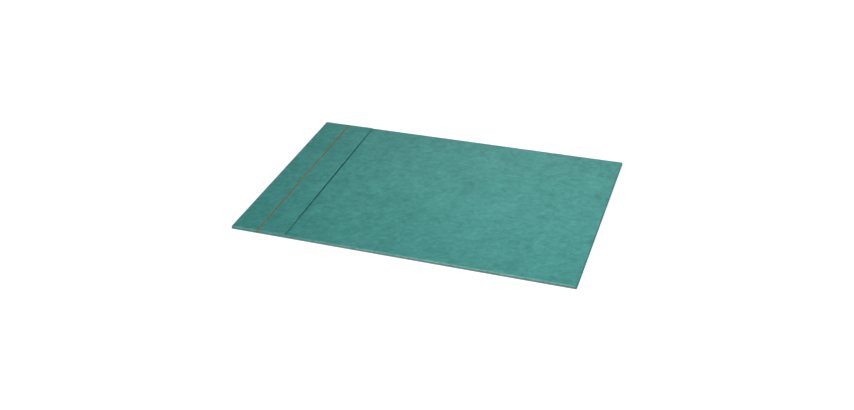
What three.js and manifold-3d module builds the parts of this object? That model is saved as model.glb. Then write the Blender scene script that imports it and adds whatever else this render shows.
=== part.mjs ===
// A desk pad: a covered board with a sewn leatherette flap along its left side that holds loose sheets.
// Millimetres, +X to the right, +Y to the far side, +Z up. The origin is on the desk under the pad's middle.

import * as THREE from 'three';
import { mergeVertices } from 'three/addons/utils/BufferGeometryUtils.js';
import Module from 'manifold-3d';

// Driving dimensions of the pad
const PAD_WIDTH = 600;
const PAD_DEPTH = 400;
const BOARD_THICKNESS = 2.3;
const BOARD_CORNER_RADIUS = 1.5;
const BOARD_EDGE_RADIUS = 0.3;
const LEATHER_THICKNESS = 0.45;
const TURN_IN = 15;
const BACKING_THICKNESS = 0.6;
const BACKING_MARGIN = 4;
const BACKING_CORNER_RADIUS = 3;

// Driving dimensions of the flap and its seam
const BAND_WIDTH = 50;
const LEAF_WIDTH = 51.5;
const LEAF_END_INSET = 0.8;
const LEAF_CORNER_RADIUS = 1.5;
const LEAF_EDGE_RADIUS = 0.4;
const HEM = 10;
const THREAD_WIDTH = 1.9;
const THREAD_HEIGHT = 0.8;
const NEEDLE_LOCK = 0.6;
const BOBBIN_THREAD = 0.5;
const STITCH_LENGTH = 6;
const STITCH_RISE = 0.1;
const STITCH_SHOULDER = 1.5;
const FIRST_HOLE_FROM_EDGE = 4;
const THREAD_TAIL_HEIGHT = 1;

// Clearances
const GLUE_LINE = 0.05;
const BUTT_GAP = 0.3;
const MITRE_GAP = 0.3;
const SEAM_CLEARANCE = 0.3;
const HOLE_CLEARANCE = 0.2;
const GROOVE_CLEARANCE = 0.15;

// Smoothness of round shapes
const CORNER_STEPS = 4;
const EDGE_STEPS = 3;
const THREAD_SIDES = 6;
const AWL_SIDES = 4;

// Heights, from the desk up: the thicker of the backing and the flap's turned-under margin rests on it
const coverBottom = Math.max(BACKING_THICKNESS, LEATHER_THICKNESS) + GLUE_LINE;
const boardBottom = coverBottom + LEATHER_THICKNESS + GLUE_LINE;
const boardTop = boardBottom + BOARD_THICKNESS;
const coverTop = boardTop + GLUE_LINE + LEATHER_THICKNESS;
const leafBottom = coverTop + GLUE_LINE;
const leafSkin = leafBottom + LEATHER_THICKNESS + GLUE_LINE;
const leafTop = leafSkin + LEATHER_THICKNESS;

// Plan places: the flap's band wraps the covered board on three sides, and the right edge is the cover alone
const layer = LEATHER_THICKNESS + GLUE_LINE;
const board = {
  x0: -PAD_WIDTH / 2 + 2 * layer,
  x1: PAD_WIDTH / 2 - layer,
  y0: -PAD_DEPTH / 2 + 2 * layer,
  y1: PAD_DEPTH / 2 - 2 * layer,
  z0: boardBottom,
  z1: boardTop,
};
const coverCavity = grow(board, GLUE_LINE);
const coverOuter = grow(coverCavity, LEATHER_THICKNESS);
const bandCavity = grow(coverOuter, GLUE_LINE);
const bandOuter = grow(bandCavity, LEATHER_THICKNESS);
const seamX = bandOuter.x0 + BAND_WIDTH;
const seamHalfGap = THREAD_WIDTH / 2 + SEAM_CLEARANCE;
const bandEdge = seamX - seamHalfGap;
const leafEdge = seamX + seamHalfGap;

// The flap's free half, and the lining inside its hem
const leaf = {
  x0: leafEdge,
  x1: seamX + LEAF_WIDTH,
  y0: coverOuter.y0 + LEAF_END_INSET,
  y1: coverOuter.y1 - LEAF_END_INSET,
  z0: leafBottom,
  z1: leafTop,
};
const lining = {
  x0: leaf.x0,
  x1: leaf.x1 - HEM - BUTT_GAP,
  y0: leaf.y0 + HEM + BUTT_GAP,
  y1: leaf.y1 - HEM - BUTT_GAP,
  z0: leafBottom,
  z1: leafBottom + LEATHER_THICKNESS,
};

// The seam's needle holes, evenly spaced between the near and the far edge
const seamHalf = coverOuter.y1 - FIRST_HOLE_FROM_EDGE;
const stitchCount = Math.round((2 * seamHalf) / STITCH_LENGTH);
const stitch = (2 * seamHalf) / stitchCount;
const holeYs = Array.from({ length: stitchCount + 1 }, (_, i) => -seamHalf + i * stitch);
const lockRadius = NEEDLE_LOCK / 2;
const holeRadius = lockRadius + HOLE_CLEARANCE;

const wasm = await Module();
wasm.setup();

// A box with every side moved out by the same distance
function grow(box, by) {
  return {
    x0: box.x0 - by,
    x1: box.x1 + by,
    y0: box.y0 - by,
    y1: box.y1 + by,
    z0: box.z0 - by,
    z1: box.z1 + by,
  };
}

// A closed three.js geometry as a solid that can be cut and joined
function solidOf(geometry) {
  geometry.deleteAttribute('normal');
  geometry.deleteAttribute('uv');
  const merged = mergeVertices(geometry);
  return new wasm.Manifold(
    new wasm.Mesh({
      numProp: 3,
      vertProperties: new Float32Array(merged.attributes.position.array),
      triVerts: new Uint32Array(merged.index.array),
    }),
  );
}

// The solid's triangles as a three.js geometry
function geometryOf(solid) {
  const mesh = solid.getMesh();
  const geometry = new THREE.BufferGeometry();
  geometry.setAttribute('position', new THREE.BufferAttribute(mesh.vertProperties, 3));
  geometry.setIndex(new THREE.BufferAttribute(mesh.triVerts, 1));
  geometry.computeVertexNormals();
  return geometry;
}

// A square-edged block
function block(box) {
  const geometry = new THREE.BoxGeometry(box.x1 - box.x0, box.y1 - box.y0, box.z1 - box.z0);
  geometry.translate((box.x0 + box.x1) / 2, (box.y0 + box.y1) / 2, (box.z0 + box.z1) / 2);
  return solidOf(geometry);
}

// A flat slab with round corners in plan and round arrises
function slab(box, cornerRadius, edgeRadius) {
  const { x0, x1, y0, y1, z0, z1 } = box;
  const r = cornerRadius;
  const outline = new THREE.Shape();
  outline.absarc(x1 - r, y1 - r, r, 0, Math.PI / 2);
  outline.absarc(x0 + r, y1 - r, r, Math.PI / 2, Math.PI);
  outline.absarc(x0 + r, y0 + r, r, Math.PI, 1.5 * Math.PI);
  outline.absarc(x1 - r, y0 + r, r, 1.5 * Math.PI, 2 * Math.PI);
  const geometry = new THREE.ExtrudeGeometry(outline, {
    depth: z1 - z0 - 2 * edgeRadius,
    curveSegments: CORNER_STEPS,
    bevelSegments: EDGE_STEPS,
    bevelThickness: edgeRadius,
    bevelSize: edgeRadius,
    bevelOffset: -edgeRadius,
  });
  geometry.translate(0, 0, z0 + edgeRadius);
  return solidOf(geometry);
}

// A sheet folded round what the cavity holds: turned under on every side, with mitred corners
function wrappedSheet(outer, cavity, cavityCorner, cavityEdge) {
  const outerCorner = cavityCorner + LEATHER_THICKNESS;
  const window = {
    x0: outer.x0 + TURN_IN,
    x1: outer.x1 - TURN_IN,
    y0: outer.y0 + TURN_IN,
    y1: outer.y1 - TURN_IN,
    z0: outer.z0 - LEATHER_THICKNESS,
    z1: cavity.z0 + cavityEdge + LEATHER_THICKNESS,
  };
  let sheet = slab(outer, outerCorner, cavityEdge + LEATHER_THICKNESS)
    .subtract(slab(cavity, cavityCorner, cavityEdge))
    .subtract(block(window));
  const mitreLength = (TURN_IN - outerCorner) * Math.SQRT2;
  for (const [x, y, dx, dy] of [
    [window.x0, window.y0, -1, -1],
    [window.x1, window.y0, 1, -1],
    [window.x1, window.y1, 1, 1],
    [window.x0, window.y1, -1, 1],
  ]) {
    const cut = new THREE.BoxGeometry(mitreLength + MITRE_GAP, MITRE_GAP, window.z1 - window.z0);
    cut.translate((mitreLength - MITRE_GAP) / 2, 0, 0);
    cut.rotateZ(Math.atan2(dy, dx));
    cut.translate(x, y, (window.z0 + window.z1) / 2);
    sheet = sheet.subtract(solidOf(cut));
  }
  return sheet;
}

// An upright peg at one needle hole, four-sided as an awl pricks it
function needlePeg(y, radius, z0, z1) {
  const geometry = new THREE.CylinderGeometry(radius, radius, z1 - z0, AWL_SIDES);
  geometry.rotateX(Math.PI / 2);
  geometry.translate(seamX, y, (z0 + z1) / 2);
  return solidOf(geometry);
}

// The stiff board, with the dent that the seam's under thread presses into it
function coreBoard() {
  const dent = block({
    x0: seamX - BOBBIN_THREAD / 2 - GROOVE_CLEARANCE,
    x1: seamX + BOBBIN_THREAD / 2 + GROOVE_CLEARANCE,
    y0: board.y0 - BUTT_GAP,
    y1: board.y1 + BUTT_GAP,
    z0: board.z1 - BOBBIN_THREAD - 2 * GLUE_LINE,
    z1: board.z1 + BUTT_GAP,
  });
  return slab(board, BOARD_CORNER_RADIUS, BOARD_EDGE_RADIUS).subtract(dent);
}

// The main cover, wrapped round the board and pierced along the seam
function padCover() {
  const corner = BOARD_CORNER_RADIUS + GLUE_LINE;
  const edge = BOARD_EDGE_RADIUS + GLUE_LINE;
  let cover = wrappedSheet(coverOuter, coverCavity, corner, edge);
  for (const y of holeYs) {
    cover = cover.subtract(needlePeg(y, holeRadius, boardTop - GLUE_LINE, coverTop + GLUE_LINE));
  }
  return cover;
}

// The card between the cover's turned-under margins
function undersideFiller() {
  const inset = TURN_IN + BUTT_GAP;
  return block({
    x0: coverOuter.x0 + inset,
    x1: coverOuter.x1 - inset,
    y0: coverOuter.y0 + inset,
    y1: coverOuter.y1 - inset,
    z0: coverBottom,
    z1: coverBottom + LEATHER_THICKNESS,
  });
}

// The sheet under the pad, cut back on the left where it meets the flap's turned-under margins
function backingSheet() {
  const inset = TURN_IN + BUTT_GAP;
  const left = bandOuter.x0 + inset;
  const step = bandEdge + BUTT_GAP;
  const right = coverOuter.x1 - BACKING_MARGIN;
  const wide = coverOuter.y1 - BACKING_MARGIN;
  const narrow = bandOuter.y1 - inset;
  const r = BACKING_CORNER_RADIUS;
  const outline = new THREE.Shape();
  outline.moveTo(left, -narrow);
  outline.lineTo(step, -narrow);
  outline.lineTo(step, -wide);
  outline.absarc(right - r, -wide + r, r, 1.5 * Math.PI, 2 * Math.PI);
  outline.absarc(right - r, wide - r, r, 0, Math.PI / 2);
  outline.lineTo(step, wide);
  outline.lineTo(step, narrow);
  outline.lineTo(left, narrow);
  const geometry = new THREE.ExtrudeGeometry(outline, {
    depth: BACKING_THICKNESS,
    curveSegments: CORNER_STEPS,
    bevelEnabled: false,
  });
  geometry.translate(0, 0, coverBottom - GLUE_LINE - BACKING_THICKNESS);
  return solidOf(geometry);
}

// The flap's fixed half: glued down and wrapped round the left, near and far edges
function flapBand() {
  const corner = BOARD_CORNER_RADIUS + layer + GLUE_LINE;
  const edge = BOARD_EDGE_RADIUS + layer + GLUE_LINE;
  const right = block({
    x0: bandEdge,
    x1: bandOuter.x1 + BUTT_GAP,
    y0: bandOuter.y0 - BUTT_GAP,
    y1: bandOuter.y1 + BUTT_GAP,
    z0: bandOuter.z0 - BUTT_GAP,
    z1: bandOuter.z1 + BUTT_GAP,
  });
  return wrappedSheet(bandOuter, bandCavity, corner, edge).subtract(right);
}

// The flap's free half: one skin with a hem glued under it on its three free edges
function flapLeaf() {
  const past = LEAF_CORNER_RADIUS + LEAF_EDGE_RADIUS;
  const whole = { ...leaf, x0: leaf.x0 - past };
  const pocket = {
    x0: leaf.x0 - past,
    x1: leaf.x1 - HEM,
    y0: leaf.y0 + HEM,
    y1: leaf.y1 - HEM,
    z0: leafBottom - GLUE_LINE,
    z1: leafSkin,
  };
  const seamSide = grow({ ...leaf, x0: leaf.x0 - 2 * past, x1: leaf.x0 - BUTT_GAP }, BUTT_GAP);
  const edge = Math.min(LEAF_EDGE_RADIUS, (leafTop - leafBottom - GLUE_LINE) / 2);
  return slab(whole, LEAF_CORNER_RADIUS, edge).subtract(block(pocket)).subtract(block(seamSide));
}

// Places along the top thread: its centre, the way out from the cover, and its half width and height there
function threadStations() {
  const bend = BOARD_EDGE_RADIUS + layer;
  const lift = GLUE_LINE + THREAD_HEIGHT / 2;
  const flat = { across: THREAD_WIDTH / 2, up: THREAD_HEIGHT / 2 };
  const locked = { across: lockRadius, up: lockRadius };
  const wallY = coverOuter.y1 + lift;
  const bendY = coverOuter.y1 - bend;
  const bendZ = coverTop - bend;
  const farEnd = [{ y: wallY, z: THREAD_TAIL_HEIGHT, ny: 1, nz: 0, ...flat }];
  for (let i = 0; i <= EDGE_STEPS; i += 1) {
    const turn = ((i / EDGE_STEPS) * Math.PI) / 2;
    const ny = Math.cos(turn);
    const nz = Math.sin(turn);
    const y = bendY + (bend + lift) * ny;
    const z = bendZ + (bend + lift) * nz;
    farEnd.push({ y, z, ny, nz, ...flat });
  }
  const nearEnd = farEnd.map((s) => ({ ...s, y: -s.y, ny: -s.ny }));
  const top = [];
  holeYs.forEach((y, i) => {
    const low = coverTop + GLUE_LINE + lockRadius;
    top.push({ y, z: low, ny: 0, nz: 1, ...locked });
    if (i < stitchCount) {
      const shoulder = Math.min(STITCH_SHOULDER, stitch / 3);
      for (const along of [shoulder, stitch - shoulder]) {
        const z = coverTop + lift + STITCH_RISE;
        top.push({ y: y + along, z, ny: 0, nz: 1, ...flat });
      }
    }
  });
  return [...nearEnd, ...top, ...farEnd.reverse()];
}

// The top thread: one length along the seam and over both edges, locked down through every needle hole
function needleThread() {
  const stations = threadStations();
  const points = [];
  const triangles = [];
  stations.forEach((s, i) => {
    for (let k = 0; k < THREAD_SIDES; k += 1) {
      const turn = (k / THREAD_SIDES) * 2 * Math.PI;
      const out = s.up * Math.sin(turn);
      points.push(seamX + s.across * Math.cos(turn), s.y + out * s.ny, s.z + out * s.nz);
      if (i > 0) {
        const a = (i - 1) * THREAD_SIDES + k;
        const b = (i - 1) * THREAD_SIDES + ((k + 1) % THREAD_SIDES);
        triangles.push(a, a + THREAD_SIDES, b, b, a + THREAD_SIDES, b + THREAD_SIDES);
      }
    }
  });
  const last = (stations.length - 1) * THREAD_SIDES;
  for (let k = 2; k < THREAD_SIDES; k += 1) {
    triangles.push(0, k - 1, k, last, last + k, last + k - 1);
  }
  const geometry = new THREE.BufferGeometry();
  geometry.setAttribute('position', new THREE.Float32BufferAttribute(points, 3));
  geometry.setIndex(triangles);
  let thread = solidOf(geometry);
  for (const y of holeYs) {
    thread = thread.add(needlePeg(y, lockRadius, boardTop + GLUE_LINE, coverTop + lockRadius));
  }
  return thread;
}

// The under thread, lying in the board's dent
function bobbinThread() {
  const radius = BOBBIN_THREAD / 2;
  const geometry = new THREE.CylinderGeometry(radius, radius, board.y1 - board.y0, THREAD_SIDES);
  geometry.translate(seamX, 0, boardTop - GLUE_LINE - radius);
  return solidOf(geometry);
}

// Colours and finishes
const leatherette = { color: 0x3f857d, roughness: 0.5, metalness: 0 };
const greyBoard = { color: 0x8d8478, roughness: 0.95, metalness: 0 };
const suede = { color: 0x3c4143, roughness: 1, metalness: 0 };
const liningCloth = { color: 0x2f5f5a, roughness: 0.9, metalness: 0 };
const ochreThread = { color: 0xb07a1c, roughness: 0.6, metalness: 0 };

function piece(name, solid, finish) {
  const mesh = new THREE.Mesh(geometryOf(solid), new THREE.MeshStandardMaterial(finish));
  mesh.name = name;
  return mesh;
}

const pad = new THREE.Group();
pad.add(
  piece('core_board', coreBoard(), greyBoard),
  piece('pad_cover', padCover(), leatherette),
  piece('underside_filler', undersideFiller(), greyBoard),
  piece('backing_sheet', backingSheet(), suede),
  piece('flap_band', flapBand(), leatherette),
  piece('needle_thread', needleThread(), ochreThread),
  piece('bobbin_thread', bobbinThread(), ochreThread),
);

// The free half lifts about the line of its seam, along the top of its seam edge
const flap = new THREE.Group();
flap.add(piece('flap_leaf', flapLeaf(), leatherette), piece('flap_lining', block(lining), liningCloth));
pad.add(flap);

export default pad;
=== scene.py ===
# %% [markdown]
# # Dressing a leatherette desk pad
# The pad is a stiff board wrapped in teal leatherette. A flap of the same leatherette runs along its
# left side: half of it is glued down and wrapped round the edges, a row of ochre stitches holds it,
# and the other half lifts to keep loose sheets in place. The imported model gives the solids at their
# real size. This lesson makes the sheets, the stitches and the finishes around them, in metres.

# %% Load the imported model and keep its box
import math

import bmesh
import bpy
from mathutils import Matrix, Vector


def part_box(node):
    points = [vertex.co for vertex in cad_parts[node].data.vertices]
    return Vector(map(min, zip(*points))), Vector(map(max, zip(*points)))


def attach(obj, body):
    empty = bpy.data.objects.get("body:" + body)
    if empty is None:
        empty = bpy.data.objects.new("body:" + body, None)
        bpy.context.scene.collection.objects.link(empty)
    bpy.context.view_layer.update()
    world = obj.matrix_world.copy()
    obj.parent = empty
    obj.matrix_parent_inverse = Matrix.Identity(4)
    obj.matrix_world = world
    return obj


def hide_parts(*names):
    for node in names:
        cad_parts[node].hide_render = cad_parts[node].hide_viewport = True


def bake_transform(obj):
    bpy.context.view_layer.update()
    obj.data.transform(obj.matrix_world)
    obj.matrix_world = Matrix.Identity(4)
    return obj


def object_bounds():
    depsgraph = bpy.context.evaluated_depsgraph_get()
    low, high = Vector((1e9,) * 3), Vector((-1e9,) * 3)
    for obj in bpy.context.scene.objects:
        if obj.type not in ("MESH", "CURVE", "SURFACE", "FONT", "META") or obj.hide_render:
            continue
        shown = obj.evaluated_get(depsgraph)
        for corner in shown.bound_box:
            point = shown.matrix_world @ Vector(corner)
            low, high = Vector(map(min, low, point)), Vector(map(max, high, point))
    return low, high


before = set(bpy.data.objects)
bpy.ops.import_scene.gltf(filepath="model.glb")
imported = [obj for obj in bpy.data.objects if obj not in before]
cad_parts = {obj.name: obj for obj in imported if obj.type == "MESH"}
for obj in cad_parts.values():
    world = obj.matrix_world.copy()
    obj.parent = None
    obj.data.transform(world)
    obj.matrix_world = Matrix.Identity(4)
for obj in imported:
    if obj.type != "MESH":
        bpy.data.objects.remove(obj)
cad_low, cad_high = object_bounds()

MM = 0.001
print("solid model, mm:", [round((b - a) / MM, 2) for a, b in zip(cad_low, cad_high)])

# %% [markdown]
# ## Sizes from the frame
# Every sheet here lies where its solid lies, so its sizes come from the solids' boxes. Only what a
# box can't say, such as how thick the leatherette is, is written as a number.

# %% Read the solids' boxes
cover_low, cover_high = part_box("pad_cover")
band_low, band_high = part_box("flap_band")
leaf_low, leaf_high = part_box("flap_leaf")
lining_low, lining_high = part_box("flap_lining")
backing_low, backing_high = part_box("backing_sheet")
filler_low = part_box("underside_filler")[0]
thread_low, thread_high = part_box("needle_thread")

LEATHER = 0.45 * MM
CUT_GAP = 0.3 * MM
turn_in = filler_low.x - cover_low.x - CUT_GAP
hem = leaf_high.x - lining_high.x - CUT_GAP
seam_x = (band_high.x + leaf_low.x) / 2
FIRST_HOLE = 4 * MM
STITCHES = 65
seam_near = cover_low.y + FIRST_HOLE
seam_far = cover_high.y - FIRST_HOLE
stitch_length = (seam_far - seam_near) / STITCHES
print("turned-in margin, hem and stitch, mm:", [round(s / MM, 2) for s in (turn_in, hem, stitch_length)])

# %% [markdown]
# ## The camera
# The picture was taken from the front and a little to the right, looking down at about 32 degrees,
# with the camera tipped a couple of degrees. A camera can be aimed by a constraint or by angles. Here
# its three axes are worked out and written into its matrix, because that takes the tip in as well.

# %% Place the camera
IMAGE_WIDTH = 854
FOCAL_LENGTH_PIXELS = 998.8
VIEW_AZIMUTH = math.radians(20.6)
VIEW_ELEVATION = math.radians(32.27)
VIEW_TIP = math.radians(-2.35)
VIEW_DISTANCE = 1.7557
VIEW_TARGET = Vector((-0.0017, -0.0352, 0))
SENSOR_WIDTH = 36

level = math.cos(VIEW_ELEVATION)
to_the_right = math.sin(VIEW_AZIMUTH) * level
to_the_front = math.cos(VIEW_AZIMUTH) * level
towards = Vector((to_the_right, -to_the_front, math.sin(VIEW_ELEVATION)))
sideways = Vector((math.cos(VIEW_AZIMUTH), math.sin(VIEW_AZIMUTH), 0))
upright = towards.cross(sideways)
right = sideways * math.cos(VIEW_TIP) + upright * math.sin(VIEW_TIP)
up = upright * math.cos(VIEW_TIP) - sideways * math.sin(VIEW_TIP)

bpy.ops.object.camera_add()
camera = bpy.context.object
camera.name = "camera"
camera.matrix_world = Matrix.Translation(VIEW_TARGET + towards * VIEW_DISTANCE) @ (
    Matrix((right, up, towards)).transposed().to_4x4()
)
camera.data.sensor_width = SENSOR_WIDTH
camera.data.lens = SENSOR_WIDTH * FOCAL_LENGTH_PIXELS / IMAGE_WIDTH
bpy.context.scene.camera = camera
print("lens, mm:", round(camera.data.lens, 2))

# %% [markdown]
# ## Building materials from nodes
# A material is a small graph: textures make numbers from places on the surface, and the shader turns
# them into colour, gloss and relief. These helpers add one node each, link or set its sockets by name
# and give back the output, so a finish below reads as a list of what it is made of.

# %% Helpers for numbers and colours
def new_finish(name):
    finish = bpy.data.materials.new(name)
    finish.use_nodes = True
    return finish, finish.node_tree


def add_node(tree, kind, sockets, **settings):
    made = tree.nodes.new(kind)
    for name, value in settings.items():
        setattr(made, name, value)
    for name, value in sockets.items():
        if isinstance(value, bpy.types.NodeSocket):
            tree.links.new(value, made.inputs[name])
        else:
            made.inputs[name].default_value = value
    return made


def maths(tree, operation, first, second=0.0, clamp=False):
    sockets = {0: first, 1: second}
    return add_node(tree, "ShaderNodeMath", sockets, operation=operation, use_clamp=clamp).outputs[0]


def clouds(tree, place, size=1.0, detail=4.0, roughness=0.55, distortion=0.0):
    sockets = {
        "Vector": place,
        "Scale": 1 / size,
        "Detail": detail,
        "Roughness": roughness,
        "Distortion": distortion,
    }
    return add_node(tree, "ShaderNodeTexNoise", sockets).outputs["Fac"]


def remap(tree, value, low, high, new_low=0.0, new_high=1.0):
    sockets = {"Value": value, 1: low, 2: high, 3: new_low, 4: new_high}
    return add_node(tree, "ShaderNodeMapRange", sockets).outputs["Result"]


def mix_colours(tree, share, first, second):
    sockets = {0: share, 6: first, 7: second}
    return add_node(tree, "ShaderNodeMix", sockets, data_type="RGBA").outputs[2]


def srgb(red, green, blue):
    levels = [c / 255 for c in (red, green, blue)]
    linear = [c / 12.92 if c <= 0.04045 else ((c + 0.055) / 1.055) ** 2.4 for c in levels]
    return (*linear, 1.0)


print("middle grey in linear light:", round(srgb(128, 128, 128)[0], 3))


# %% Helpers for places and relief
def stretch(tree, place, sizes, turn=0.0):
    sockets = {"Vector": place, "Scale": Vector(sizes) * MM, "Rotation": (0, 0, turn)}
    return add_node(tree, "ShaderNodeMapping", sockets, vector_type="TEXTURE").outputs[0]


def relief(tree, height, depth, strength=1.0, over=None):
    sockets = {"Height": height, "Distance": depth, "Strength": strength}
    if over is not None:
        sockets["Normal"] = over
    return add_node(tree, "ShaderNodeBump", sockets).outputs[0]


def mesh_mark(tree, name, output="Fac"):
    return add_node(tree, "ShaderNodeAttribute", {}, attribute_name=name).outputs[output]


def rest_place(tree):
    return mesh_mark(tree, "rest_place", "Vector")


def object_place(tree):
    return add_node(tree, "ShaderNodeTexCoord", {}).outputs["Object"]


print("node helpers ready")

# %% [markdown]
# ## Teal leatherette
# The real sheet is a soft coated cloth with a vintage finish: lighter and darker patches about a
# centimetre wide, drawn-out wisps, a few thin pale veins, fine creases between tiny pebbles of grain,
# and a quiet gloss. It could be one noise, but that looks like smoke. So broad clouds, patches and
# wisps are summed for the colour, with a vein wherever a fourth noise passes its middle value, and a
# cell pattern gives the creases, which are painted darker as shade. The near edges are painted paler,
# partly for wear from sleeves and partly as a painted highlight along the arris, and the coat is duller
# where it is stretched over a fold. Both are marks on the mesh that the finish reads. The pattern itself
# reads where each point lies at rest, so it stays on the flap when the flap lifts.

# %% Clouds, patches, wisps and veins
TEAL_DEEP = srgb(37, 118, 112)
TEAL_PALE = srgb(67, 154, 147)
# Colour of the paler edges: wear, and a painted highlight along the arrises
TEAL_WORN_AND_HIGHLIT = srgb(112, 168, 159)
BROAD_CLOUD = 42 * MM
PATCH = 11 * MM
WISP_MM = (12.5, 6.7, 7.7)
VEIN_MM = (31, 21, 25)
DRAWN_OUT = math.radians(23)
VEIN_SHARPNESS = 0.025


def leather_tone(tree, place):
    broad = clouds(tree, place, BROAD_CLOUD, detail=3, distortion=0.5)
    patches = clouds(tree, place, PATCH, detail=4, distortion=0.8)
    wisps = clouds(tree, stretch(tree, place, WISP_MM, DRAWN_OUT), detail=2, distortion=1.2)
    drift = clouds(tree, stretch(tree, place, VEIN_MM, DRAWN_OUT), detail=4, distortion=1.2)
    from_vein = maths(tree, "ABSOLUTE", maths(tree, "SUBTRACT", drift, 0.5))
    veins = remap(tree, from_vein, 0.0, VEIN_SHARPNESS, 1.0, 0.0)
    tone = maths(tree, "MULTIPLY", broad, 0.25)
    for layer, share in ((patches, 0.4), (wisps, 0.35), (veins, 0.045)):
        tone = maths(tree, "ADD", tone, maths(tree, "MULTIPLY", layer, share))
    return tone


print("patch and wisp, mm:", round(PATCH / MM, 1), WISP_MM)

# %% Pebbles of grain
PEBBLE = 1.1 * MM
PEBBLE_WANDER = 3.8 * MM
PEBBLE_SHIFT = 1.6 * MM
CREASE_SHARE = 0.22


def leather_pebbles(tree, place):
    noise = {"Vector": place, "Scale": 1 / PEBBLE_WANDER, "Detail": 2}
    wander = add_node(tree, "ShaderNodeTexNoise", noise).outputs["Color"]
    moved = {0: wander, "Scale": PEBBLE_SHIFT}
    shift = add_node(tree, "ShaderNodeVectorMath", moved, operation="SCALE").outputs[0]
    bent = add_node(tree, "ShaderNodeVectorMath", {0: place, 1: shift}, operation="ADD").outputs[0]
    cells = {"Vector": bent, "Scale": 1 / PEBBLE}
    pattern = add_node(tree, "ShaderNodeTexVoronoi", cells, feature="DISTANCE_TO_EDGE")
    return remap(tree, pattern.outputs["Distance"], 0.0, CREASE_SHARE)


print("pebble, mm:", round(PEBBLE / MM, 1))

# %% Teal leatherette finish
TONE_LOW = 0.34
TONE_HIGH = 0.67
CREASE_PAINTED_SHADE = 0.3
WEAR_AND_HIGHLIGHT_PATCH = 6 * MM
WEAR_AND_HIGHLIGHT_LEAST = 0.2
WEAR_AND_HIGHLIGHT_MOST = 0.75
RUB_POLISH = 0.06
FOLD_DULLING = 0.35
ROUGHNESS_DEEP = 0.60
ROUGHNESS_PALE = 0.50
FINE_GRAIN = 0.4 * MM
PATCH_DEPTH = 0.12 * MM
PEBBLE_DEPTH = 0.18 * MM
FINE_DEPTH = 0.02 * MM


def teal_leatherette():
    finish, tree = new_finish("teal_leatherette")
    shader = tree.nodes["Principled BSDF"]
    place = rest_place(tree)
    tone = remap(tree, leather_tone(tree, place), TONE_LOW, TONE_HIGH)
    pebbles = leather_pebbles(tree, place)
    base = mix_colours(tree, tone, TEAL_DEEP, TEAL_PALE)
    # Creases between the pebbles are painted darker towards the deep teal: painted shade
    crease_shade_share = remap(tree, pebbles, 0, 1, CREASE_PAINTED_SHADE, 0)
    with_crease_shade = mix_colours(tree, crease_shade_share, base, TEAL_DEEP)
    # Paler edges: partly wear, partly a painted highlight along the arrises
    wear_and_highlight = mesh_mark(tree, "edge_wear_and_highlight")
    wear_and_highlight_patches = remap(tree, clouds(tree, place, WEAR_AND_HIGHLIGHT_PATCH), 0.35, 0.65, WEAR_AND_HIGHLIGHT_LEAST, WEAR_AND_HIGHLIGHT_MOST)
    patchy_wear_and_highlight = maths(tree, "MULTIPLY", wear_and_highlight, wear_and_highlight_patches)
    tree.links.new(mix_colours(tree, patchy_wear_and_highlight, with_crease_shade, TEAL_WORN_AND_HIGHLIT), shader.inputs["Base Color"])
    coat = remap(tree, tone, 0, 1, ROUGHNESS_DEEP, ROUGHNESS_PALE)
    polished = maths(tree, "SUBTRACT", coat, maths(tree, "MULTIPLY", wear_and_highlight, RUB_POLISH))
    dulling = maths(tree, "MULTIPLY", mesh_mark(tree, "edge_fold"), FOLD_DULLING)
    dulled = maths(tree, "ADD", polished, dulling)
    tree.links.new(dulled, shader.inputs["Roughness"])
    fine = clouds(tree, place, FINE_GRAIN, detail=2)
    patch_relief = relief(tree, tone, PATCH_DEPTH, 0.5)
    pebble_relief = relief(tree, pebbles, PEBBLE_DEPTH, 0.8, patch_relief)
    tree.links.new(relief(tree, fine, FINE_DEPTH, 0.4, pebble_relief), shader.inputs["Normal"])
    shader.inputs["Specular IOR Level"].default_value = 0.25
    shader.inputs["Sheen Weight"].default_value = 0.03
    shader.inputs["Sheen Roughness"].default_value = 0.45
    return finish


leatherette = teal_leatherette()
print("leatherette nodes:", len(leatherette.node_tree.nodes))

# %% [markdown]
# ## Ochre thread
# The thread is a waxed, twisted polyester in ochre. Its twist could be drawn as slanting stripes on a
# plain tube. Here the plies are modelled below, so the finish only varies the dye, with fine fibres
# along the thread that break up its wax.

# %% Ochre thread finish
OCHRE_DEEP = srgb(114, 85, 1)
OCHRE_PALE = srgb(142, 106, 3)
DYE_PATCH = 1.1 * MM
FIBRE_MM = (0.11, 0.67, 0.11)
FIBRE_DEPTH = 0.03 * MM


def ochre_thread():
    finish, tree = new_finish("ochre_thread")
    shader = tree.nodes["Principled BSDF"]
    place = object_place(tree)
    dye = remap(tree, clouds(tree, place, DYE_PATCH, detail=3), 0.35, 0.65)
    fibres = clouds(tree, stretch(tree, place, FIBRE_MM), detail=2)
    tree.links.new(mix_colours(tree, dye, OCHRE_DEEP, OCHRE_PALE), shader.inputs["Base Color"])
    tree.links.new(remap(tree, fibres, 0.3, 0.7, 0.62, 0.78), shader.inputs["Roughness"])
    tree.links.new(relief(tree, fibres, FIBRE_DEPTH, 0.6), shader.inputs["Normal"])
    shader.inputs["Specular IOR Level"].default_value = 0.12
    return finish


thread_finish = ochre_thread()
print("thread nodes:", len(thread_finish.node_tree.nodes))

# %% [markdown]
# ## Woven lining
# The flap is lined with a plain woven cloth. A checker would give its squares, but a hard edge to each.
# The product of two waves, one along each direction, rises and falls as threads do that pass over and
# under each other. It gives the relief, and its low places are painted darker as shade.

# %% Woven lining finish
LINING_DEEP = srgb(30, 74, 70)
LINING_PALE = srgb(62, 116, 109)
WEAVE_PITCH = 0.7 * MM
SLUB_MM = (0.8, 17, 1000)
WEAVE_DEPTH = 0.12 * MM


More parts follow.
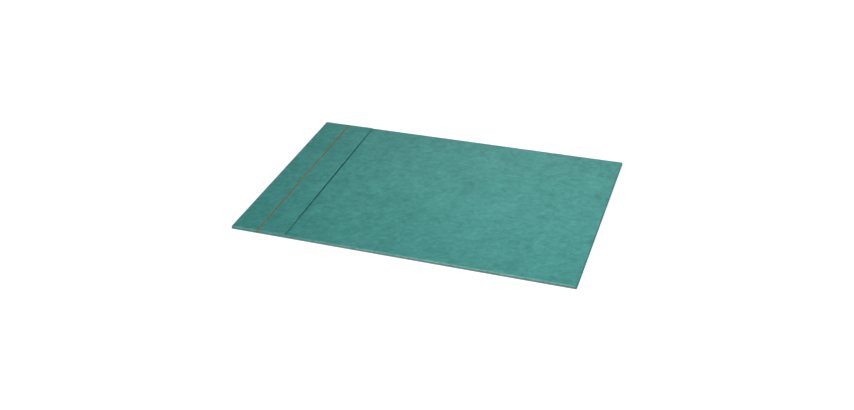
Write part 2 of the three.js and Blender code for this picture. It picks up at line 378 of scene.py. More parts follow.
def woven_lining():
    finish, tree = new_finish("woven_lining")
    shader = tree.nodes["Principled BSDF"]
    place = rest_place(tree)
    parts = add_node(tree, "ShaderNodeSeparateXYZ", {"Vector": place})
    turns = 2 * math.pi / (2 * WEAVE_PITCH)
    warp = maths(tree, "SINE", maths(tree, "MULTIPLY", parts.outputs["X"], turns))
    weft = maths(tree, "SINE", maths(tree, "MULTIPLY", parts.outputs["Y"], turns))
    over = remap(tree, maths(tree, "MULTIPLY", warp, weft), -1, 1)
    slubs = clouds(tree, stretch(tree, place, SLUB_MM), detail=3)
    # Where the threads dip under, the colour is painted darker as shade
    weave_painted_shade = maths(tree, "MULTIPLY", over, 0.6)
    shade = maths(tree, "ADD", weave_painted_shade, maths(tree, "MULTIPLY", slubs, 0.4))
    tree.links.new(mix_colours(tree, shade, LINING_DEEP, LINING_PALE), shader.inputs["Base Color"])
    tree.links.new(remap(tree, slubs, 0.3, 0.7, 0.78, 0.92), shader.inputs["Roughness"])
    tree.links.new(relief(tree, over, WEAVE_DEPTH, 0.8), shader.inputs["Normal"])
    shader.inputs["Sheen Weight"].default_value = 0.15
    return finish


lining_finish = woven_lining()
print("lining nodes:", len(lining_finish.node_tree.nodes))

# %% [markdown]
# ## Suede and boards
# The underside is a charcoal suede cloth, whose nap is dark where it lies away and pale where it
# catches the light. Hair would be the true way, but on so short a nap no hair shows. Broad strokes and
# a fine noise do: their pale strokes are painted sheen where the nap catches the light, with a little
# real sheen from the shader as well. The boards inside are plain grey stock, mixed from clumps of
# pulp and flecks of fibre that all lie one way.

# %% Suede finish
SUEDE_DEEP = srgb(46, 50, 51)
SUEDE_PALE = srgb(72, 77, 78)
STROKE_MM = (56, 22, 22)
STROKE_TURN = math.radians(30)
NAP = 0.7 * MM
NAP_DEPTH = 0.15 * MM


def charcoal_suede():
    finish, tree = new_finish("charcoal_suede")
    shader = tree.nodes["Principled BSDF"]
    place = object_place(tree)
    strokes = clouds(tree, stretch(tree, place, STROKE_MM, STROKE_TURN), detail=4, distortion=1.2)
    nap = clouds(tree, place, NAP, detail=4, roughness=0.7)
    stroked = maths(tree, "MULTIPLY", strokes, 0.55)
    shade = maths(tree, "ADD", stroked, maths(tree, "MULTIPLY", nap, 0.45))
    # Pale strokes are painted sheen of the nap; the dark ones are its painted shade
    nap_lie_and_sheen = remap(tree, shade, 0.35, 0.65)
    tree.links.new(mix_colours(tree, nap_lie_and_sheen, SUEDE_DEEP, SUEDE_PALE), shader.inputs["Base Color"])
    tree.links.new(relief(tree, nap, NAP_DEPTH, 0.7), shader.inputs["Normal"])
    shader.inputs["Roughness"].default_value = 0.95
    shader.inputs["Specular IOR Level"].default_value = 0.15
    shader.inputs["Sheen Weight"].default_value = 0.25
    return finish


suede = charcoal_suede()
print("suede nodes:", len(suede.node_tree.nodes))

# %% Board finishes
BOARD_PALE = srgb(150, 142, 130)
BOARD_DARK = srgb(118, 110, 99)
CARD_PALE = srgb(164, 156, 143)
CARD_DARK = srgb(134, 126, 114)
PULP_CLUMP = 5.6 * MM
PULP_FIBRE_MM = (3.3, 0.45, 1.1)
PULP_TURN = math.radians(23)
PULP_DEPTH = 0.05 * MM


def flecked_board(name, pale, dark):
    finish, tree = new_finish(name)
    shader = tree.nodes["Principled BSDF"]
    place = object_place(tree)
    pulp = clouds(tree, place, PULP_CLUMP, detail=5)
    fibres = clouds(tree, stretch(tree, place, PULP_FIBRE_MM, PULP_TURN), detail=3, distortion=2.0)
    clumped = maths(tree, "MULTIPLY", pulp, 0.5)
    shade = maths(tree, "ADD", clumped, maths(tree, "MULTIPLY", fibres, 0.5))
    flecks = remap(tree, shade, 0.35, 0.65)
    tree.links.new(mix_colours(tree, flecks, dark, pale), shader.inputs["Base Color"])
    tree.links.new(relief(tree, fibres, PULP_DEPTH, 0.5), shader.inputs["Normal"])
    shader.inputs["Roughness"].default_value = 0.95
    return finish


grey_board = flecked_board("grey_board", BOARD_PALE, BOARD_DARK)
filler_card = flecked_board("filler_card", CARD_PALE, CARD_DARK)
print("boards:", grey_board.name, filler_card.name)

# %% [markdown]
# ## Modelling by hand, in code
# Each sheet starts as a primitive and is worked in edit mode, as at a bench: cut, turned under, its
# folds rounded. Operators act on what is selected, so these helpers begin with nothing selected, pick
# points, edges or faces by where they are and which way they face, and hand them to the operator.

# %% Helpers for selecting
EPS = 0.02 * MM
MOSTLY = 0.9
HARDLY = 0.1
SHORTEST_MITRE = 5 * MM


def select_only(*pieces):
    bpy.ops.object.select_all(action="DESELECT")
    for piece in pieces:
        piece.select_set(True)
    bpy.context.view_layer.objects.active = pieces[0]


def close_to(value, target):
    return abs(value - target) < EPS


def pick(kind, test):
    shape = bmesh.from_edit_mesh(bpy.context.edit_object.data)
    bpy.ops.mesh.select_mode(type=kind)
    bpy.ops.mesh.select_all(action="DESELECT")
    members = {"VERT": shape.verts, "EDGE": shape.edges, "FACE": shape.faces}[kind]
    members.index_update()
    chosen = [m for m in members if test(m)]
    for m in chosen:
        m.select_set(True)
    shape.select_flush_mode()
    bmesh.update_edit_mesh(bpy.context.edit_object.data)
    return len(chosen)


def is_corner(edge):
    along = edge.verts[1].co - edge.verts[0].co
    return abs(along.z) > MOSTLY * along.length and not edge.is_boundary


def is_arris(edge):
    steepness = sorted(abs(face.normal.z) for face in edge.link_faces)
    return len(steepness) == 2 and steepness[0] < HARDLY and steepness[1] > MOSTLY


def is_mitre(edge):
    along = edge.verts[1].co - edge.verts[0].co
    is_diagonal = close_to(along.z, 0) and close_to(abs(along.x), abs(along.y))
    return is_diagonal and along.length > SHORTEST_MITRE


print("selecting helpers ready, points within, mm:", EPS / MM)

# %% Helpers for opening a box and folding its sheet
MITRE_HALF_GAP = 0.15 * MM
CORNER_SEGMENTS = 6
ARRIS_SEGMENTS = 5


def edit(piece):
    select_only(piece)
    bpy.ops.object.mode_set(mode="EDIT")


def leave():
    bpy.ops.object.mode_set(mode="OBJECT")


def box_sheet(name, low, high, margin, open_side=None):
    bpy.ops.object.select_all(action="DESELECT")
    bpy.ops.mesh.primitive_cube_add(size=1, location=(low + high) / 2)
    piece = bpy.context.object
    piece.name = piece.data.name = name
    bpy.ops.transform.resize(value=high - low)
    bpy.ops.object.transform_apply(location=True, rotation=True, scale=True)
    edit(piece)
    if open_side is not None:
        pick("FACE", lambda face: face.normal.dot(open_side) > MOSTLY)
        bpy.ops.mesh.delete(type="FACE")
    pick("FACE", lambda face: face.normal.z < -MOSTLY)
    bpy.ops.mesh.inset(thickness=margin, use_boundary=False)
    bpy.ops.mesh.delete(type="FACE")
    leave()
    return piece


def round_edges(test, radius, segments):
    count = pick("EDGE", test)
    bpy.ops.mesh.bevel(offset=radius, segments=segments, affect="EDGES", clamp_overlap=False)
    return count


def slit_mitres(half_gap):
    count = pick("EDGE", is_mitre)
    bpy.ops.mesh.bevel(offset=half_gap, segments=1, affect="EDGES", clamp_overlap=False)
    bpy.ops.mesh.delete(type="FACE")
    return count


def folded_sheet(name, low, high, margin, corner, arris, open_side=None):
    piece = box_sheet(name, low, high, margin, open_side)
    edit(piece)
    corners = round_edges(is_corner, corner, CORNER_SEGMENTS)
    arrises = round_edges(is_arris, arris, ARRIS_SEGMENTS)
    mitres = slit_mitres(MITRE_HALF_GAP)
    leave()
    print(name, "corners:", corners, "arris edges:", arrises, "mitres:", mitres)
    return piece


print("segments of a corner and an arris:", CORNER_SEGMENTS, ARRIS_SEGMENTS)


# %% Helpers for cutting rows and columns
def cut_across(axis, places):
    for place in places:
        point = Vector((0, 0, 0))
        point[axis] = place
        normal = Vector((0, 0, 0))
        normal[axis] = 1
        bpy.ops.mesh.select_all(action="SELECT")
        bpy.ops.mesh.bisect(plane_co=point, plane_no=normal, threshold=EPS / 10)


def even_places(low, high, step):
    count = max(1, round((high - low) / step))
    return [low + (high - low) * i / count for i in range(1, count)]


print("a 40 mm strip in 10 mm steps is cut at:", even_places(0, 40, 10))

# %% Helpers for finishing a piece
SHARP_FROM = math.radians(40)


def apply_modifier(piece, kind, **settings):
    select_only(piece)
    modifier = piece.modifiers.new(kind.lower(), kind)
    for name, value in settings.items():
        setattr(modifier, name, value)
    bpy.ops.object.modifier_apply(modifier=modifier.name)


def give_wall(piece, thickness, **settings):
    inwards = {"thickness": thickness, "offset": -1}
    even = {"use_even_offset": True, "use_quality_normals": True}
    apply_modifier(piece, "SOLIDIFY", **inwards, **even, **settings)


def join(piece, *others):
    select_only(piece, *others)
    bpy.ops.object.join()


def dress(piece, finish):
    select_only(piece)
    bpy.ops.object.shade_smooth_by_angle(angle=SHARP_FROM)
    piece.data.materials.clear()
    piece.data.materials.append(finish)
    piece.data.calc_loop_triangles()
    size = [round(d / MM, 2) for d in piece.dimensions]
    print(piece.name, "triangles:", len(piece.data.loop_triangles), "size, mm:", size)


def keep_rest_places(piece):
    places = piece.data.attributes.new("rest_place", "FLOAT_VECTOR", "POINT")
    places.data.foreach_set("vector", [c for v in piece.data.vertices for c in v.co])


def mark_points(piece, name, measure):
    marks = piece.data.attributes.new(name, "FLOAT", "POINT")
    marks.data.foreach_set("value", [float(measure(v.co)) for v in piece.data.vertices])


print("edges stay sharp from, degrees:", round(math.degrees(SHARP_FROM)))

# %% [markdown]
# ## The main cover
# The cover is one sheet glued over the board, folded down at all four sides and turned under, with its
# corners mitred so that they lie flat. A bevelled block would look alike from above, but it would have
# no sheet thickness and no turned margin underneath. So a box is opened from below by an inset, which
# leaves the margin and its diagonal mitres, the corners and arrises are rounded, a slit is opened along
# each mitre, and Solidify gives the sheet its wall, inwards from the outer face. The near edge is
# painted paler, most a little right of the middle: partly wear where the writing arm rubs, partly a
# painted highlight along the arris, and a smaller share on the wall below is painted light.

# %% Fold the main cover
COVER_CORNER = 2.0 * MM
COVER_ARRIS = 0.8 * MM
WEAR_AND_HIGHLIGHT_LINE = 3.0 * MM
COVER_GRID = 10 * MM

cover = folded_sheet("cover_leather", cover_low, cover_high, turn_in, COVER_CORNER, COVER_ARRIS)
edit(cover)
cut_across(0, [cover_low.x + WEAR_AND_HIGHLIGHT_LINE, cover_high.x - WEAR_AND_HIGHLIGHT_LINE])
cut_across(1, [cover_low.y + WEAR_AND_HIGHLIGHT_LINE, cover_high.y - WEAR_AND_HIGHLIGHT_LINE])
cut_across(0, even_places(cover_low.x, cover_high.x, COVER_GRID))
cut_across(1, even_places(cover_low.y, cover_high.y, COVER_GRID))
leave()
print("cover faces:", len(cover.data.polygons))

# %% Give the cover its wall and finish
ARM_X = 110 * MM
ARM_REACH = 300 * MM
WEAR_AND_HIGHLIGHT_ELSEWHERE = 0.5
WEAR_AND_HIGHLIGHT_UNDER_ARM = 1.7
WEAR_AND_HIGHLIGHT_ON_WALL = 0.62

give_wall(cover, LEATHER)
keep_rest_places(cover)


# Near edge painted paler: wear, and a painted highlight on the arris; the wall below gets a smaller
# share, which is painted light on the front face
def cover_wear_and_highlight(co):
    if co.y > cover_low.y + COVER_ARRIS + EPS:
        return 0
    under_arm = max(math.cos(math.pi / 2 * (co.x - ARM_X) / ARM_REACH), 0)
    wear_and_highlight = WEAR_AND_HIGHLIGHT_ELSEWHERE + (WEAR_AND_HIGHLIGHT_UNDER_ARM - WEAR_AND_HIGHLIGHT_ELSEWHERE) * under_arm
    return wear_and_highlight if co.z > cover_high.z - COVER_ARRIS else wear_and_highlight * WEAR_AND_HIGHLIGHT_ON_WALL


def cover_fold(co):
    return min(max((cover_high.z - co.z) / COVER_ARRIS, 0), 1)


mark_points(cover, "edge_wear_and_highlight", cover_wear_and_highlight)
mark_points(cover, "edge_fold", cover_fold)
dress(cover, leatherette)

# %% [markdown]
# ## The flap
# The flap is one sheet too. Its left half wraps round three edges of the covered board, its right half
# is free, with a hem turned under on its three free sides. Two opened boxes give the wrapped half and
# the hemmed half, and a bridge joins them into one sheet across the seam. The sheet is then cut into
# rows, two to a stitch, so that the stitches can draw it down into a valley with a dimple at each
# needle hole. A smooth strip with a painted line would show none of this from close by.

# %% Join the wrapped half and the hemmed half
BAND_CORNER = 2.5 * MM
BAND_ARRIS = 1.3 * MM
LEAF_CORNER = 1.5 * MM
LEAF_ARRIS = 0.45 * MM
LEFT = Vector((-1, 0, 0))
RIGHT = Vector((1, 0, 0))

flap = folded_sheet("flap_leather", band_low, band_high, turn_in, BAND_CORNER, BAND_ARRIS, RIGHT)
hemmed_half = folded_sheet("hemmed_half", leaf_low, leaf_high, hem, LEAF_CORNER, LEAF_ARRIS, LEFT)
join(flap, hemmed_half)


def is_seam_edge(edge):
    band_edge = band_high.z - BAND_ARRIS - EPS
    leaf_edge = leaf_high.z - LEAF_ARRIS - EPS
    at_band = all(close_to(v.co.x, band_high.x) and v.co.z > band_edge for v in edge.verts)
    at_leaf = all(close_to(v.co.x, leaf_low.x) and v.co.z > leaf_edge for v in edge.verts)
    return at_band or at_leaf


edit(flap)
print("edges bridged across the seam:", pick("EDGE", is_seam_edge))
bpy.ops.mesh.bridge_edge_loops()

# %% Cut rows and columns, and draw the seam down
FLAP_GRID = 5 * MM
BEND_COLUMNS = (1 * MM, 2.2 * MM)
# Each place is a share of half the seam's gap, and its height is in millimetres over the cover
SEAM_VALLEY = ((-0.6, 0.36), (0.0, 0.29), (0.45, 0.34), (0.8, 0.50))
DIMPLE = 0.06 * MM
half_gap = (leaf_low.x - band_high.x) / 2
holes = [seam_near + stitch_length * i for i in range(STITCHES + 1)]
halfway = [y + stitch_length / 2 for y in holes[:-1]]
bend_columns = [leaf_low.x + step for step in BEND_COLUMNS]

cut_across(0, [seam_x + share * half_gap for share, height in SEAM_VALLEY])
cut_across(0, [band_low.x + WEAR_AND_HIGHLIGHT_LINE, leaf_high.x - WEAR_AND_HIGHLIGHT_LINE, *bend_columns])
cut_across(0, even_places(band_low.x, band_high.x, FLAP_GRID))
cut_across(0, even_places(leaf_low.x, leaf_high.x, FLAP_GRID))
cut_across(1, [leaf_low.y + WEAR_AND_HIGHLIGHT_LINE, leaf_high.y - WEAR_AND_HIGHLIGHT_LINE])
cut_across(1, holes + halfway)


def is_hole(co):
    return close_to(co.x, seam_x) and min(abs(co.y - y) for y in holes) < EPS


for share, height in SEAM_VALLEY:
    column = seam_x + share * half_gap
    bridge_top = (band_high.z + leaf_high.z + (leaf_high.z - band_high.z) * share) / 2
    lowered = cover_high.z + height * MM - bridge_top
    pick("VERT", lambda v: close_to(v.co.x, column))
    bpy.ops.transform.translate(value=(0, 0, lowered))
print("needle holes drawn in:", pick("VERT", lambda v: is_hole(v.co)))
bpy.ops.transform.translate(value=(0, 0, -DIMPLE))
leave()

# %% [markdown]
# ## The flap's free edge and its wall
# The free edge of a hemmed flap stands off the pad a little, most in the middle of its length, and its
# shadow is the dark line in the picture. The edge could be pulled up by proportional editing. A Displace
# modifier with weights does the same by a rule, so the lining can follow it. Solidify then gives the
# wall, with weights again, because the stitches press the leatherette thinner.

# %% Lift the free edge a little
FREE_LIFT = 1.1 * MM
LIFT_AT_ENDS = 0.2


def lift_free_edge(piece):
    lift = piece.vertex_groups.new(name="lift")
    for v in piece.data.vertices:
        out = min(max((v.co.x - leaf_low.x) / (leaf_high.x - leaf_low.x), 0), 1)
        along = math.cos(math.pi / 2 * v.co.y / leaf_high.y)
        lift.add([v.index], out**2 * (LIFT_AT_ENDS + (1 - LIFT_AT_ENDS) * along), "REPLACE")
    upwards = {"direction": "Z", "mid_level": 0, "strength": FREE_LIFT}
    apply_modifier(piece, "DISPLACE", vertex_group=lift.name, **upwards)


lift_free_edge(flap)
print("flap top, mm:", round(max(v.co.z for v in flap.data.vertices) / MM, 2))

# %% Give the flap its wall, thinner where the stitches press it
PRESSED_REACH = 0.7 * half_gap
PRESSED_SHARE = 0.5
FREE_EDGE_WEAR_AND_HIGHLIGHT = 0.3

pressed = flap.vertex_groups.new(name="leather_thickness")
for v in flap.data.vertices:
    in_seam = abs(v.co.x - seam_x) < PRESSED_REACH
    pressed.add([v.index], PRESSED_SHARE if in_seam else 1.0, "REPLACE")
give_wall(flap, LEATHER, vertex_group=pressed.name)
keep_rest_places(flap)


# Near arrises painted paler for wear and a painted highlight; the free edge gets a weaker painted
# highlight
def flap_wear_and_highlight(co):
    if co.x < seam_x:
        return co.y < band_low.y + BAND_ARRIS + EPS and co.z > band_high.z - BAND_ARRIS
    near = co.y < leaf_low.y + LEAF_ARRIS + EPS
    free = co.x > leaf_high.x - LEAF_ARRIS - EPS
    return max(near, FREE_EDGE_WEAR_AND_HIGHLIGHT * free) if co.z > leaf_high.z - LEAF_ARRIS else 0


def flap_fold(co):
    return min(max((band_high.z - co.z) / BAND_ARRIS, 0), 1) if co.x < band_high.x else 0


mark_points(flap, "edge_wear_and_highlight", flap_wear_and_highlight)
mark_points(flap, "edge_fold", flap_fold)
dress(flap, leatherette)

# %% [markdown]
# ## The flap's lining
# Inside the hem a plain woven cloth is glued to the flap's underside, and it shows when the flap lifts.
# A single face would do from far off. A thin slab of rows shows its cut edge and bends at the seam with
# the leatherette.

# %% Lay the lining
LINING_WALL = 0.42 * MM


def flat_sheet(name, low, high, z):
    bpy.ops.object.select_all(action="DESELECT")
    bpy.ops.mesh.primitive_plane_add(size=1, location=((low.x + high.x) / 2, (low.y + high.y) / 2, z))
    piece = bpy.context.object
    piece.name = piece.data.name = name
    bpy.ops.transform.resize(value=(high.x - low.x, high.y - low.y, 1))
    bpy.ops.object.transform_apply(location=True, rotation=True, scale=True)
    return piece


lining = flat_sheet("lining_cloth", lining_low, lining_high, lining_high.z)
edit(lining)
cut_across(0, bend_columns)
cut_across(0, even_places(lining_low.x, lining_high.x, FLAP_GRID))
cut_across(1, even_places(lining_low.y, lining_high.y, FLAP_GRID))
leave()
lift_free_edge(lining)
give_wall(lining, LINING_WALL)
keep_rest_places(lining)
dress(lining, lining_finish)

# %% [markdown]
# ## The stitches
# The seam is a lockstitch in a flat waxed thread of three twisted plies. Each stitch rises out of its
# needle hole, lies along the seam and dives into the next, and at both ends of the seam the thread runs
# over the pad's edge. A tube along the seam would lose the row of stitches. So one stitch is made: three
# circles are swept with a twist by the Screw modifier, pressed flat, and their ends are drawn in and
# down. An Array then lays the row. A longer strand is bent over the edge and mirrored to the far end.

# %% Twist and shape one stitch
PLIES = 3
PLY_RADIUS = 0.70 * MM
PLY_OFFSET = 0.58 * MM
PLY_SIDES = 8
PLY_PITCH = 3.6 * MM
PLY_STEP = 0.33 * MM
PRESSED_FLAT = 0.42
STANDS_PROUD = 0.15 * MM
# Each ring counts from the end, with its drop in millimetres and the share of its width that is left
END_SHAPE = ((0, 0.6, 0.66), (1, 0.24, 0.88), (2, 0.06, 0.98))
half_height = (PLY_RADIUS + PLY_OFFSET) * PRESSED_FLAT
thread_middle = leaf_high.z + STANDS_PROUD - half_height


def twisted_thread(name, length):
    bpy.ops.object.select_all(action="DESELECT")
    plies = []
    for ply in range(PLIES):
        turn = 2 * math.pi * ply / PLIES
        bpy.ops.mesh.primitive_circle_add(
            vertices=PLY_SIDES,
            radius=PLY_RADIUS,
            location=(PLY_OFFSET * math.cos(turn), 0, PLY_OFFSET * math.sin(turn)),
            rotation=(math.pi / 2, 0, 0),
        )
        plies.append(bpy.context.object)
    thread = plies.pop()
    join(thread, *plies)
    thread.name = thread.data.name = name
    bpy.ops.object.transform_apply(location=True, rotation=True, scale=True)
    steps = round(length / PLY_STEP)
    twist = {"axis": "Y", "angle": length / PLY_PITCH * 2 * math.pi, "screw_offset": length}
    apply_modifier(thread, "SCREW", steps=steps, render_steps=steps, use_merge_vertices=False, **twist)
    edit(thread)
    pick("EDGE", lambda edge: edge.is_boundary)
    bpy.ops.mesh.fill_holes(sides=PLY_SIDES)
    bpy.ops.mesh.select_all(action="SELECT")
    bpy.ops.mesh.normals_make_consistent(inside=False)
    bpy.ops.transform.resize(value=(1, 1, PRESSED_FLAT), center_override=(0, 0, 0))
    leave()
    return thread, [length * i / steps for i in range(steps + 1)]


def draw_in(rings, ring, drop, squeeze):
    pick("VERT", lambda v: close_to(v.co.y, rings[ring]))
    bpy.ops.transform.resize(value=(squeeze, 1, squeeze), center_override=(0, rings[ring], 0))
    bpy.ops.transform.translate(value=(0, 0, -drop * MM))


stitches, rings = twisted_thread("seam_stitches", stitch_length)
edit(stitches)
for ring, drop, squeeze in END_SHAPE:
    draw_in(rings, ring, drop, squeeze)
    draw_in(rings, -1 - ring, drop, squeeze)
bpy.ops.mesh.select_all(action="SELECT")
bpy.ops.transform.translate(value=(seam_x, seam_near, thread_middle))
leave()
apply_modifier(
    stitches,
    "ARRAY",
    count=STITCHES,
    use_relative_offset=False,
    use_constant_offset=True,
    constant_offset_displace=(0, stitch_length, 0),
)
print("rings to a stitch:", len(rings))

# %% Bend a strand over the edge
EDGE_BEND = 1.5 * MM
edge_y = thread_high.y - half_height
straight = edge_y - EDGE_BEND - seam_far
arc = EDGE_BEND * math.pi / 2
down = thread_middle - EDGE_BEND - thread_low.z

tail, rings = twisted_thread("edge_strand", straight + arc + down)
edit(tail)
for ring, drop, squeeze in END_SHAPE:
    draw_in(rings, ring, drop, squeeze)
bend_middle = (0, straight, -EDGE_BEND)
for ring, y in enumerate(rings):
    bent = min(max(y - straight, 0), arc)
    pick("VERT", lambda v: v.index // (PLIES * PLY_SIDES) == ring)
    bpy.ops.transform.translate(value=(0, -bent, 0))
    about = {"orient_axis": "X", "orient_type": "GLOBAL", "center_override": bend_middle}
    bpy.ops.transform.rotate(value=bent / EDGE_BEND, **about)
bpy.ops.mesh.select_all(action="SELECT")
bpy.ops.transform.translate(value=(seam_x, seam_far, thread_middle))
leave()
apply_modifier(tail, "MIRROR", use_axis=(False, True, False), use_mirror_merge=False)
join(stitches, tail)
dress(stitches, thread_finish)

# %% [markdown]
# ## The suede underside
# A charcoal suede cloth covers the underside. It stops a few millimetres short of the edges, and on the
# left it is cut back to make room for the flap's turned-under margins. Its outline could be typed in
# point by point. It is cut as from a roll instead: a flat sheet is cut along those lines, the two
# notches are deleted, its free corners are rounded, and Solidify gives it its wall.

# %% Cut the backing
BACKING_CORNER = 3 * MM
BACKING_GRID = 20 * MM
notch_x = band_high.x + CUT_GAP
notch_y = band_high.y - turn_in - CUT_GAP

backing = flat_sheet("backing_suede", backing_low, backing_high, backing_high.z)
edit(backing)
cut_across(0, [notch_x])
cut_across(1, [-notch_y, notch_y])


def in_notch(face):
    middle = face.calc_center_median()
    return middle.x < notch_x and abs(middle.y) > notch_y


print("notches cut:", pick("FACE", in_notch))
bpy.ops.mesh.delete(type="FACE")
pick("VERT", lambda v: close_to(v.co.x, backing_high.x) and close_to(abs(v.co.y), backing_high.y))
bpy.ops.mesh.bevel(offset=BACKING_CORNER, segments=CORNER_SEGMENTS, affect="VERTICES")
cut_across(0, even_places(backing_low.x, backing_high.x, BACKING_GRID))
cut_across(1, even_places(backing_low.y, backing_high.y, BACKING_GRID))
leave()
give_wall(backing, backing_high.z - backing_low.z)
dress(backing, suede)

# %% [markdown]
# ## The boards inside
# The grey board, the card between the turned-in margins and the under thread are hidden. They could be
# modelled again, but they are right as solids, so they stay and only get their finishes.

# %% Finish the solids that stay
solid_finishes = {
    "core_board": grey_board,
    "underside_filler": filler_card,
    "bobbin_thread": thread_finish,
}
for node, finish in solid_finishes.items():
    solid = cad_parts[node]
    solid.data.materials.clear()
    solid.data.materials.append(finish)
    print(node, "is finished in", finish.name)

# %% [markdown]
# ## Floor and light
# The pad lies on a plain white floor under soft studio light. One big lamp overhead would do, but a
# flat thing then looks flatter still. So a box in front lights the top and the near edge, and hangs a
# little to the left, which leaves the right edge darker. A small box on the left, narrowed by a grid,
# is aimed at the right half: the pad fades to the left, and the flap's free edge throws a fine shadow.
# A low box behind gives the far end its gloss, and a pale world fills the rest. The floor is white to
# the camera by a glow of its own, so no extra light falls on the pad. The glow fades out across the
# pad's edge, which paints a thin contact shadow on the floor there, and the floor also takes the lamps'
# real shadows, so the pad doesn't float. Seen from below the floor is clear, so the underside can be
# looked at, and the world's lower half stands for the light that a white floor throws back.

# %% Lay the floor
FLOOR_SIZE = 40
FLOOR_DROP = 0.02 * MM
FLOOR_PAINT = (0.34, 0.34, 0.34, 1)
GLOW_NEAR = {"distance": 0.35, "level": 0.79}
GLOW_FAR = {"distance": 1.6, "level": 0.97}
EDGE_SHADE = 0.3 * MM


def white_floor():
    finish, tree = new_finish("white_floor")
    tree.nodes.remove(tree.nodes["Principled BSDF"])
    output = tree.nodes["Material Output"]
    path = add_node(tree, "ShaderNodeLightPath", {})
    seen = maths(tree, "ADD", path.outputs["Is Camera Ray"], path.outputs["Is Glossy Ray"], clamp=True)
    seen = maths(tree, "ADD", seen, path.outputs["Is Transmission Ray"], clamp=True)
    place = object_place(tree)
    away = add_node(tree, "ShaderNodeVectorMath", {0: place}, operation="LENGTH").outputs["Value"]
    parts = add_node(tree, "ShaderNodeSeparateXYZ", {"Vector": place})
    beside_x = maths(tree, "SUBTRACT", maths(tree, "ABSOLUTE", parts.outputs["X"]), cad_high.x)
    beside_y = maths(tree, "SUBTRACT", maths(tree, "ABSOLUTE", parts.outputs["Y"]), cad_high.y)
    # The glow fades to nothing across the pad's edge: a painted contact shadow on the floor
    outside_painted_contact_shade = remap(tree, maths(tree, "MAXIMUM", beside_x, beside_y), -EDGE_SHADE, EDGE_SHADE)
    distances = (GLOW_NEAR["distance"], GLOW_FAR["distance"])
    levels = (GLOW_NEAR["level"], GLOW_FAR["level"])
    glow = maths(tree, "MULTIPLY", remap(tree, away, *distances, *levels), outside_painted_contact_shade)
    strength = maths(tree, "MULTIPLY", seen, glow)
    paint = add_node(tree, "ShaderNodeBsdfDiffuse", {"Color": FLOOR_PAINT}).outputs[0]
    light = add_node(tree, "ShaderNodeEmission", {"Strength": strength}).outputs[0]
    upper = add_node(tree, "ShaderNodeAddShader", {0: paint, 1: light}).outputs[0]
    clear = add_node(tree, "ShaderNodeBsdfTransparent", {}).outputs[0]
    below = add_node(tree, "ShaderNodeNewGeometry", {}).outputs["Backfacing"]
    whole = add_node(tree, "ShaderNodeMixShader", {0: below, 1: upper, 2: clear}).outputs[0]
    tree.links.new(whole, output.inputs["Surface"])
    return finish


bpy.ops.object.select_all(action="DESELECT")
bpy.ops.mesh.primitive_plane_add(size=FLOOR_SIZE, location=(0, 0, 0))
floor = bpy.context.object
floor.name = "floor"
bpy.ops.transform.translate(value=(0, 0, cad_low.z - FLOOR_DROP))
bpy.ops.object.transform_apply(location=True, rotation=True, scale=True)
floor.data.materials.append(white_floor())
floor.visible_diffuse = False
floor.visible_shadow = False
print("floor at, mm:", round((cad_low.z - FLOOR_DROP) / MM, 2))

# %% Hang the lights
FRONT_BOX = {"place": (-0.3, -1.95, 1.6), "aim": (0, 0, 0), "size": (1.0, 0.8), "watts": 55.5}
LEFT_BOX = {"place": (-1.15, 0.43, 1.0), "aim": (0.62, -0.04, 0), "size": (0.5, 0.5), "watts": 1.79}
BACK_BOX = {"place": (-0.27, 2.6, 0.45), "aim": (0.1, 0.1, 0), "size": (1.4, 0.5), "watts": 13.8}
LEFT_GRID = math.radians(34.4)


def soft_box(name, place, aim, size, watts):
    bpy.ops.object.light_add(type="AREA", location=place)
    lamp = bpy.context.object
    lamp.name = name
    lamp.data.shape = "RECTANGLE"
    lamp.data.size, lamp.data.size_y = size
    lamp.data.energy = watts
    lamp.rotation_euler = (Vector(aim) - Vector(place)).to_track_quat("-Z", "Y").to_euler()
    lamp.visible_camera = False
    print(name, "watts:", watts)
    return lamp


soft_box("front_box", **FRONT_BOX)
soft_box("left_box", **LEFT_BOX).data.spread = LEFT_GRID
soft_box("back_box", **BACK_BOX)

# %% Fill the world
HORIZON_LEVEL = 0.12
ZENITH_LEVEL = 0.20
FLOOR_LEVEL = 0.27

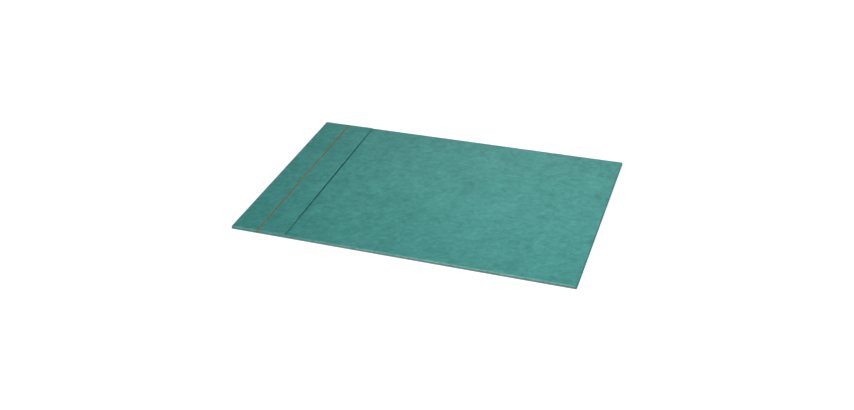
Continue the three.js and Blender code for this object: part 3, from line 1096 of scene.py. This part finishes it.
world = bpy.data.worlds.new("studio")
bpy.context.scene.world = world
world.use_nodes = True
sky = world.node_tree
way = add_node(sky, "ShaderNodeTexCoord", {}).outputs["Generated"]
height = add_node(sky, "ShaderNodeSeparateXYZ", {"Vector": way}).outputs["Z"]
above = remap(sky, height, 0, 1, HORIZON_LEVEL, ZENITH_LEVEL)
is_above = maths(sky, "GREATER_THAN", height, 0)
upper_share = maths(sky, "MULTIPLY", is_above, above)
lower_share = maths(sky, "MULTIPLY", maths(sky, "SUBTRACT", 1, is_above), FLOOR_LEVEL)
sky.links.new(maths(sky, "ADD", upper_share, lower_share), sky.nodes["Background"].inputs["Strength"])
sky.nodes["Background"].inputs["Color"].default_value = (1, 1, 1, 1)
bpy.context.scene.view_settings.view_transform = "Standard"
print("world levels:", HORIZON_LEVEL, ZENITH_LEVEL, FLOOR_LEVEL)

# %% [markdown]
# ## Tie the pieces to the frame
# The cover, the stitches and the suede ride on the pad, a body of the imported model. The flap could be
# cut in two at the hinge, but a real flap is one sheet. So it and its lining stay whole, tied to no
# body, with their places baked into their meshes. The sizes that the sheets were cut to before folding
# are worked out and printed.

for piece, node in ((cover, "pad_cover"), (stitches, "needle_thread"), (backing, "backing_sheet")):
    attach(piece, "pad")
    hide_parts(node)
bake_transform(flap)
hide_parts("flap_band", "flap_leaf")
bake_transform(lining)
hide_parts("flap_lining")
print("pieces tied:", [p.name for p in (cover, flap, lining, stitches, backing)])

cover_wrap = cover_high.z - cover_low.z + turn_in
cover_cut = (cover_high.x - cover_low.x + 2 * cover_wrap, cover_high.y - cover_low.y + 2 * cover_wrap)
band_wrap = band_high.z - band_low.z + turn_in
leaf_wrap = leaf_high.z - leaf_low.z + hem
flap_cut = (leaf_high.x - band_low.x + band_wrap + leaf_wrap, band_high.y - band_low.y + 2 * band_wrap)
lining_cut = (lining_high.x - lining_low.x, lining_high.y - lining_low.y)
backing_cut = (backing_high.x - backing_low.x, backing_high.y - backing_low.y)

cuts = {"cover": cover_cut, "flap": flap_cut, "lining": lining_cut, "backing": backing_cut}
for name, cut in cuts.items():
    print(name, "cut to, mm:", [round(side / MM, 1) for side in cut])
